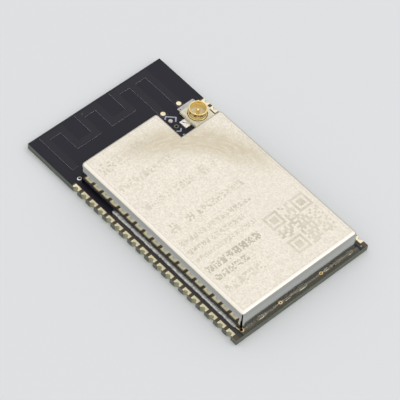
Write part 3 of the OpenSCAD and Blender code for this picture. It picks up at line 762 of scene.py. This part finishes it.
def pool_finish():
    """The pools by the receptacle: greyer than the can's solder, with painted light on the signal land."""
    # Painted light on the pool over the signal land
    signal_painted_light = near_mask([SIGNAL_LAND], 0.8)
    return metal_finish(
        "pool_solder",
        (0.60, 0.585, 0.545),
        (0.46, 0.45, 0.41),
        0.3,
        patch=2500.0,
        shades=[((0.92, 0.89, 0.86), signal_painted_light)],
    )


def dress_frame():
    """Every solid of the frame takes the finish of its material slot."""
    own = {"plated_holes": hole_finish(), "ground_strip": strip_finish()}
    for part in frame["record"]["subparts"]:
        solid = frame["nodes"][part["node"]]
        material = own.get(part["node"], FINISHES[part["material_slot"]])
        if not solid.material_slots:
            solid.data.materials.append(material)
        for place in solid.material_slots:
            place.material = material


# ---------- shield can ----------


def seam_cutter(x, y, z, height, outward):
    """A wedge through an upright corner, wide at the foot. outward gives the corner's way in x and y."""
    reach = SEAM_R * 2 + SHEET_T * 2
    low, high = (-reach / 2, -SEAM_FOOT / 2, z - CLEAR), (reach / 2, SEAM_FOOT / 2, z + height)
    wedge = add_block("seam_cutter", low, high)
    with shaping(wedge):
        pick_verts(wedge, lambda place: place.z > z + height / 2)
        bpy.ops.transform.resize(value=(1, SEAM_TOP / SEAM_FOOT, 1))
    wedge.rotation_euler.z = math.atan2(outward[1], outward[0])
    wedge.location = (x - outward[0] * SEAM_R / 3, y - outward[1] * SEAM_R / 3, 0)
    return settle(wedge)


def make_can():
    """The pressed can: an L-shaped sheet drawn up and folded over, open at three corner seams."""
    (x0, y0, z0), (x1, y1, z1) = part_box("shield_can")
    z1 -= ETCH_T
    notch_x, notch_y = x1 - NOTCH_W, y1 - NOTCH_L
    can = add_plate("pressed_can", x0, y0, x1, y1, z0)
    with shaping(can):
        bpy.ops.mesh.bisect(plane_co=(notch_x, 0, 0), plane_no=(1, 0, 0))
        bpy.ops.mesh.select_all(action="SELECT")
        bpy.ops.mesh.bisect(plane_co=(0, notch_y, 0), plane_no=(0, 1, 0))
        pick_faces(can, lambda mid, way: mid.x > notch_x and mid.y > notch_y)
        bpy.ops.mesh.delete(type="FACE")
        bpy.ops.mesh.select_all(action="SELECT")
        bpy.ops.mesh.dissolve_limited(angle_limit=math.radians(1))
        bpy.ops.mesh.select_all(action="SELECT")
        bpy.ops.mesh.extrude_region_move(TRANSFORM_OT_translate={"value": (0, 0, z1 - z0)})
        pick_faces(can, lambda mid, way: mid.z < z0 + TINY)
        bpy.ops.mesh.delete(type="ONLY_FACE")
        bpy.ops.mesh.select_all(action="SELECT")
        bpy.ops.mesh.normals_make_consistent(inside=False)

    def corner(x, y):
        return lambda a, b: all(abs(p.x - x) < TINY and abs(p.y - y) < TINY for p in (a, b))

    seams = [(x0, y0), (x1, notch_y), (notch_x, y1)]
    with shaping(can):
        for x, y in seams:
            pick_edges(can, corner(x, y))
            bpy.ops.mesh.bevel(offset=SEAM_R, segments=6, affect="EDGES")
        for x, y, radius in ((x1, y0, SEAM_R), (x0, y1, PLAIN_CORNER_R)):
            pick_edges(can, corner(x, y))
            bpy.ops.mesh.bevel(offset=radius, segments=10, affect="EDGES")
        pick_edges(can, lambda a, b: a.z > z1 - TINY and b.z > z1 - TINY)
        bpy.ops.mesh.bevel(offset=BEND_R, segments=8, affect="EDGES", clamp_overlap=False)
        pick_verts(can, lambda place: place.z < z0 + TINY)
        bpy.ops.transform.shrink_fatten(value=FLARE, use_even_offset=True)
    use_modifier(can, "SOLIDIFY", thickness=SHEET_T, offset=-1, use_even_offset=True)
    for (x, y), outward in zip(seams, ((-1, -1), (1, 1), (1, 1))):
        carve(can, seam_cutter(x, y, z0, z1 - z0 - BEND_R / 2, outward))
    arch_y = y1 - PLAIN_CORNER_R - ARCH_L
    low = (x0 - FLARE - CLEAR, arch_y, z0 - CLEAR)
    carve(can, add_block("arch_cutter", low, (x0 + 2 * SHEET_T, arch_y + ARCH_L, z0 + ARCH_H)))
    soften(can, 30)
    return finish_piece(can, FINISHES["shield_metal"], "shield_metal", "shield_can")


def mark_field(name, x0, y0, x1, y1, z, cell, fill, dice, group=0):
    """A field of small etched squares. fill is the share kept; group makes every so many columns a gap."""
    across, along = max(1, round((x1 - x0) / cell)), max(1, round((y1 - y0) / cell))
    deselect_all()
    bpy.ops.mesh.primitive_grid_add(
        x_subdivisions=across, y_subdivisions=along, size=1, location=((x0 + x1) / 2, (y0 + y1) / 2, z)
    )
    field = bpy.context.object
    field.name = name
    field.scale = (x1 - x0, y1 - y0, 1)
    settle(field)

    def bare(mid, way):
        column = int((mid.x - x0) / (x1 - x0) * across)
        gap = group and column % group == group - 1
        return gap or dice.random() > fill

    with shaping(field):
        pick_faces(field, bare)
        bpy.ops.mesh.delete(type="FACE")
    return field


def frame_mark(name, x0, y0, x1, y1, z, width):
    """A square outline of even width."""
    mark = add_plate(name, x0, y0, x1, y1, z)
    with shaping(mark):
        bpy.ops.mesh.select_mode(type="FACE")
        bpy.ops.mesh.select_all(action="SELECT")
        bpy.ops.mesh.inset(thickness=width)
        bpy.ops.mesh.delete(type="FACE")
    return mark


# Etched rows, in millimetres: corners x0, y0, x1, y1, cell, share of cells kept, columns to a gap
ROWS = [
    (-7.0, 6.2, 0.0, 7.6, 0.2, 0.34, 5),
    (-7.0, 3.5, 0.0, 4.3, 0.16, 0.5, 4),
    (-5.8, 0.1, -0.2, 0.9, 0.16, 0.46, 4),
    (-2.8, -3.4, 3.2, -2.6, 0.16, 0.46, 4),
    (-6.9, -5.3, 2.4, -4.7, 0.15, 0.6, 4),
    (-6.9, -6.55, 0.4, -5.95, 0.15, 0.6, 4),
    (-6.9, -7.65, 1.0, -7.15, 0.13, 0.5, 4),
    (-6.9, -9.35, 0.1, -8.45, 0.15, 0.66, 6),
    (-6.9, -10.55, -2.6, -9.8, 0.15, 0.62, 6),
    (-6.9, -12.3, -1.9, -11.35, 0.19, 0.5, 4),
]
# Etched patches, in millimetres: middle x and y, side
SPOTS = [(1.2, 0.55, 1.1), (2.5, 0.55, 0.6), (-6.35, 0.55, 0.8), (-6.0, -3.0, 1.2), (-3.8, -3.0, 0.9)]


def make_etching():
    """Plain etched fields where a can carries its printed data. They hold no words or signs."""
    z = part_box("shield_can")[1][2] - ETCH_T
    dice = random.Random(4)
    marks = []
    for i, (x0, y0, x1, y1, cell, fill, group) in enumerate(ROWS):
        corners = (x0 * MM, y0 * MM, x1 * MM, y1 * MM)
        marks.append(mark_field(f"etched_row_{i}", *corners, z, cell * MM, fill, dice, group))
    for i, (x, y, size) in enumerate(SPOTS):
        h = size / 2
        corners = ((x - h) * MM, (y - h) * MM, (x + h) * MM, (y + h) * MM)
        marks.append(mark_field(f"etched_patch_{i}", *corners, z, 0.2 * MM, 0.55, dice))
    # A block of scattered squares with plain frames at three corners
    cell = BLOCK_SIDE / BLOCK_CELLS
    x0, y1 = BLOCK_CORNER
    x1, y0 = x0 + BLOCK_SIDE, y1 - BLOCK_SIDE
    corner, step = FRAME_CELLS * cell, (FRAME_CELLS + 1) * cell
    marks.append(mark_field("etched_block_middle", x0 + step, y0, x1 - step, y1, z, cell, 0.5, dice))
    marks.append(mark_field("etched_block_left", x0, y0 + step, x0 + step, y1 - step, z, cell, 0.5, dice))
    marks.append(mark_field("etched_block_right", x1 - step, y0, x1, y1 - step, z, cell, 0.5, dice))
    core, core_end = 2 * cell, corner - 2 * cell
    framed = [
        frame_mark("etched_frame", x0, y0, x0 + corner, y0 + corner, z, cell),
        add_plate("etched_core", x0 + core, y0 + core, x0 + core_end, y0 + core_end, z),
    ]
    marks += framed
    far = BLOCK_SIDE - corner
    for move in ((0, far, 0), (far, far, 0)):
        marks += [copy_of(mark, move) for mark in framed]
    etching = join(marks, "etched_fields")
    with shaping(etching):
        bpy.ops.mesh.remove_doubles(threshold=0.001 * MM)
        bpy.ops.mesh.select_all(action="SELECT")
        bpy.ops.mesh.normals_make_consistent(inside=False)
    use_modifier(etching, "SOLIDIFY", thickness=ETCH_T, offset=1)
    return finish_piece(etching, etched_finish(), "shield_metal")


# ---------- solder ----------


def make_bead(name, start, end, share):
    """A run of solder along a wall foot: a low half-round bead with thin ends. share scales its girth."""
    start, end = Vector(start), Vector(end)
    length = (end - start).length
    cuts = max(4, int(length / BEAD_STEP))
    deselect_all()
    bpy.ops.mesh.primitive_cylinder_add(vertices=10, radius=1, depth=length, end_fill_type="NGON")
    bead = bpy.context.object
    bead.name = name
    bead.scale = (BEAD_H * share, BEAD_W * share, 1)
    settle(bead)
    with shaping(bead):
        pick_edges(bead, lambda a, b: abs(a.z - b.z) > length / 2)
        bpy.ops.mesh.subdivide(number_cuts=cuts)
        for side in (-1, 1):
            pick_verts(bead, lambda place: side * place.z > length / 2 - TINY)
            bpy.ops.transform.resize(value=(BEAD_END, BEAD_END, 1))
    bead.rotation_euler = (0, math.radians(90), 0)
    settle(bead)
    bead.rotation_euler = (0, 0, math.atan2((end - start).y, (end - start).x))
    bead.location = (start + end) / 2
    settle(bead)
    return bead


def make_can_solder():
    """Solder along the foot of the can, left open at its seams, its plain corners and the plated holes."""
    (x0, y0, z0), (x1, y1, _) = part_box("shield_can")
    notch_x, notch_y = x1 - NOTCH_W, y1 - NOTCH_L
    out = FLARE + BEAD_OUT
    left, right, front, back = x0 - out, x1 + out, y0 - out - THIN_OUT, y1 + out
    arch_y = y1 - PLAIN_CORNER_R - ARCH_L
    seam, plain = SEAM_R + SEAM_FOOT, PLAIN_CORNER_R
    holes = [FRONT_HOLES[0][0] * MM, FRONT_HOLES[1][0] * MM]
    board_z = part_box("laminate")[1][2]
    low_z = board_z + 0.01 * MM
    thin_runs = [
        ((x0 + seam, front, low_z), (holes[0] - SKIRT_GAP, front, low_z)),
        ((holes[0] + SKIRT_GAP, front, low_z), (holes[1] - SKIRT_GAP, front, low_z)),
        ((holes[1] + SKIRT_GAP, front, low_z), (x1 - plain, front, low_z)),
    ]
    runs = [
        ((left, y0 + seam, z0), (left, arch_y, z0)),
        ((right, y0 + plain, z0), (right, notch_y - seam, z0)),
        ((notch_x + BEAD_W, notch_y + out, z0), (x1 - seam, notch_y + out, z0)),
        ((notch_x + out, notch_y + BEAD_W, z0), (notch_x + out, y1 - seam, z0)),
        ((x0 + plain, back, z0), (notch_x - seam, back, z0)),
    ]
    thin = join([make_bead("bead", start, end, THIN_BEAD) for start, end in thin_runs], "thin_beads")
    lumps(thin, 1.1 * MM, 0.36 * MM, "Y")
    lumps(thin, 0.12 * MM, 0.03 * MM)
    wide = join([make_bead("bead", start, end, 1) for start, end in runs], "wide_beads")
    lumps(wide, 0.3 * MM, 0.09 * MM)
    lumps(wide, 0.08 * MM, 0.07 * MM)
    solder = join([wide, thin], "can_solder")
    with shaping(solder):
        under = (0, 0, board_z - TINY)
        bpy.ops.mesh.bisect(plane_co=under, plane_no=(0, 0, 1), clear_inner=True, use_fill=True)
        bpy.ops.mesh.select_all(action="SELECT")
        bpy.ops.mesh.normals_make_consistent(inside=False)
    soften(solder, 60)
    return finish_piece(solder, FINISHES["solder"], "solder", "shield_solder")


def make_puddle(name, x0, y0, x1, y1, z):
    """A thin domed pool of solder on a land."""
    puddle = add_block(name, (x0, y0, z), (x1, y1, z + PUDDLE_H))
    with shaping(puddle):
        bpy.ops.mesh.select_mode(type="EDGE")
        pick_edges(puddle, lambda a, b: abs(a.z - b.z) > TINY)
        bpy.ops.mesh.bevel(offset=0.12 * MM, segments=4, affect="EDGES")
        pick_faces(puddle, lambda mid, way: way.z > 0.9)
        bpy.ops.mesh.inset(thickness=0.09 * MM)
        bpy.ops.transform.translate(value=(0, 0, 0.02 * MM))
        bpy.ops.mesh.inset(thickness=0.13 * MM)
        bpy.ops.transform.translate(value=(0, 0, 0.015 * MM))
        bpy.ops.mesh.select_all(action="SELECT")
        bpy.ops.mesh.subdivide(number_cuts=2)
    return puddle


def make_receptacle_solder():
    """Pools on both ground lands and the signal land."""
    axis_x, axis_y, z0 = receptacle_axis()
    half = (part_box("receptacle_base")[1][1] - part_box("receptacle_base")[0][1]) / 2
    land_x0, land_y0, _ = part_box("receptacle_lands")[0]
    left, right = axis_x - PUDDLE_W / 2, axis_x + PUDDLE_W / 2
    front, tail = land_y0 + TINY, TAIL_PUDDLE_W / 2
    pool = make_puddle("pool_front", left, front, right, axis_y - half, z0)
    twin = copy_of(pool, (0, axis_y + half - front, 0))
    signal = make_puddle("pool_tail", land_x0 + TINY, axis_y - tail, axis_x - half, axis_y + tail, z0)
    solder = join([pool, twin, signal], "receptacle_pools")
    lumps(solder, 0.25 * MM, 0.035 * MM)
    soften(solder, 60)
    return finish_piece(solder, pool_finish(), "solder", "receptacle_solder")


def make_tinned_dome():
    """Solder standing in the plated hole beside the feed."""
    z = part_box("plated_holes")[1][2] - TINY
    profile = [(0, 0), (0.26, 0), (0.25, 0.03), (0.19, 0.06), (0.1, 0.08), (0, 0.085)]
    corners = [(r * MM, z + h * MM) for r, h in profile]
    x, y = TINNED_HOLE
    dome = turned("tinned_dome", corners, (x * MM, y * MM), steps=24)
    lumps(dome, 0.15 * MM, 0.03 * MM)
    soften(dome, 60)
    return finish_piece(dome, FINISHES["solder"], "solder")


def make_ink_dot():
    """A printed dot in the notch, beside the feed's brackets."""
    low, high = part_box("marking_ink")[0][2] - 0.002 * MM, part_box("marking_ink")[1][2]
    profile = [(0, low), (0.13 * MM, low), (0.13 * MM, high - 0.004 * MM), (0.12 * MM, high), (0, high)]
    x, y = NOTCH_DOT
    dot = turned("ink_dot", profile, (x * MM, y * MM), steps=24)
    soften(dot, 50)
    return finish_piece(dot, FINISHES["ink"], "ink")


# ---------- coaxial receptacle ----------


def rounded(r0, z0, r1, z1, steps=4, hollow=False):
    """Profile corners on a quarter turn from (r0, z0) to (r1, z1)."""
    corners = []
    for i in range(steps + 1):
        turn = math.pi / 2 * i / steps
        shares = math.sin(turn), 1 - math.cos(turn)
        share_r, share_z = reversed(shares) if hollow else shares
        corners.append((r0 + (r1 - r0) * share_r, z0 + (z1 - z0) * share_z))
    return corners


def make_barrel():
    """The drawn outer contact with its rolled lip, waist and foot ring, and two flat ground straps."""
    axis_x, axis_y, z0 = receptacle_axis()
    (_, strap_y, _), (_, _, z1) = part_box("receptacle_barrel")
    base_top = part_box("receptacle_base")[1][2]
    inner, edge = BARREL_R - BARREL_WALL, 0.05 * MM
    neck_r, neck_z = BARREL_R - NECK_IN, (base_top + z1 - LIP_H) / 2
    outer = [(BARREL_R, z0 + STRAP_T), (BARREL_R, base_top)]
    outer += rounded(BARREL_R, base_top, BARREL_R - edge, base_top + edge, hollow=True)
    outer += rounded(BARREL_R - edge, base_top + edge, neck_r, neck_z, 5)[1:]
    outer += rounded(neck_r, neck_z, BARREL_R, z1 - LIP_H, 5, hollow=True)[1:]
    outer += rounded(BARREL_R, z1 - edge, BARREL_R - edge, z1, hollow=True)
    outer += rounded(inner + edge, z1, inner, z1 - edge)
    barrel = turned("drawn_barrel", outer + [(inner, z0 + STRAP_T)], (axis_x, axis_y), steps=96)
    low = (axis_x - STRAP_W / 2, strap_y, z0 + LIFT)
    strap = add_block("strap", low, (axis_x + STRAP_W / 2, axis_y - inner, z0 + STRAP_T))
    round_edges(strap, 0.025 * MM)
    twin = copy_of(strap, (0, axis_y + inner - strap_y, 0))
    barrel = join([barrel, strap, twin], "drawn_barrel")
    soften(barrel, 50)
    return finish_piece(barrel, FINISHES["barrel_gold"], "barrel_gold", "receptacle_barrel")


def make_pin():
    """The middle contact: a domed pin on a tapered collar, and its flat tail."""
    axis_x, axis_y, z0 = receptacle_axis()
    tail_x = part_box("receptacle_pin")[0][0]
    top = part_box("receptacle_pin")[1][2]
    floor_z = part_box("receptacle_base")[1][2] - 0.05 * MM
    profile = [(0, z0 + 0.02 * MM), (COLLAR_R, z0 + 0.02 * MM), (COLLAR_R, floor_z + COLLAR_H * 0.7)]
    profile += [(PIN_R + 0.02 * MM, floor_z + COLLAR_H), (PIN_R, floor_z + COLLAR_H + 0.03 * MM)]
    profile += rounded(PIN_R, top - PIN_R, 0, top, 8, hollow=True)
    pin = turned("middle_pin", profile, (axis_x, axis_y), steps=48)
    low = (tail_x, axis_y - TAIL_W / 2, z0 + LIFT)
    tail = add_block("tail", low, (axis_x, axis_y + TAIL_W / 2, z0 + STRAP_T))
    round_edges(tail, 0.02 * MM)
    pin = join([pin, tail], "middle_pin")
    soften(pin, 50)
    return finish_piece(pin, FINISHES["barrel_gold"], "barrel_gold", "receptacle_pin")


# ---------- scene ----------


def place_camera():
    """Long lens, looking down over the front left corner."""
    heading, elevation, roll = math.radians(47.445), math.radians(52.887), math.radians(-6.42)
    distance = 260.78 * MM
    target = Vector((-0.912, -1.415, 2.0)) * MM
    level = Vector((math.sin(heading), math.cos(heading), 0)) * math.cos(elevation)
    look = level - Vector((0, 0, math.sin(elevation)))
    bpy.ops.object.camera_add(location=target - look * distance)
    camera = bpy.context.object
    camera.data.sensor_width = 36
    camera.data.lens = 234
    camera.data.clip_start, camera.data.clip_end = 0.01, 20
    camera.rotation_mode = "QUATERNION"
    turn = Matrix.Rotation(roll, 4, look).to_quaternion()
    camera.rotation_quaternion = turn @ look.to_track_quat("-Z", "Y")
    bpy.context.scene.camera = camera


def add_soft_lamp(place, size, watts, colour):
    """A square lamp that faces the middle of the board."""
    deselect_all()
    bpy.ops.object.light_add(type="AREA", location=place)
    lamp = bpy.context.object
    lamp.name = "soft_lamp"
    lamp.data.size = size
    lamp.data.energy = watts
    lamp.data.color = colour
    lamp.rotation_mode = "QUATERNION"
    lamp.rotation_quaternion = (-Vector(place)).to_track_quat("-Z", "Y")


def make_studio():
    """Pale floor, an even sky that is brightest overhead and behind, and one soft lamp."""
    deselect_all()
    bpy.ops.mesh.primitive_plane_add(size=4, location=(0, 0, 0))
    floor = bpy.context.object
    floor.name = "floor"
    material, tree, shader = new_finish("pale_floor", Roughness=0.9, Specular_IOR_Level=0.2)
    shader.inputs["Base Color"].default_value = (0.77, 0.775, 0.785, 1)
    floor.data.materials.append(material)
    world = bpy.data.worlds.new("sky")
    world.use_nodes = True
    bpy.context.scene.world = world
    sky = world.node_tree
    way = put(sky, "ShaderNodeTexCoord").outputs["Generated"]
    lean = put(sky, "ShaderNodeVectorMath", {0: way, 1: (0.06, 0.03, 0.0)}, operation="DOT_PRODUCT")
    height = ramp(sky, axes_of(sky, way)["Z"], 0.0, 0.62, 0.4, 0.97)
    strength = sums(sky, "ADD", lean.outputs["Value"], height)
    background = sky.nodes["Background"]
    background.inputs["Color"].default_value = (0.98, 0.99, 1.0, 1)
    sky.links.new(strength, background.inputs["Strength"])
    add_soft_lamp((0.21, -0.27, 0.49), size=0.3, watts=0.35, colour=(1, 0.96, 0.88))
    bpy.context.scene.view_settings.view_transform = "Standard"


FINISHES = make_finishes()
dress_frame()
make_can()
make_etching()
make_can_solder()
make_barrel()
make_pin()
make_receptacle_solder()
make_tinned_dome()
make_ink_dot()
place_camera()
make_studio()
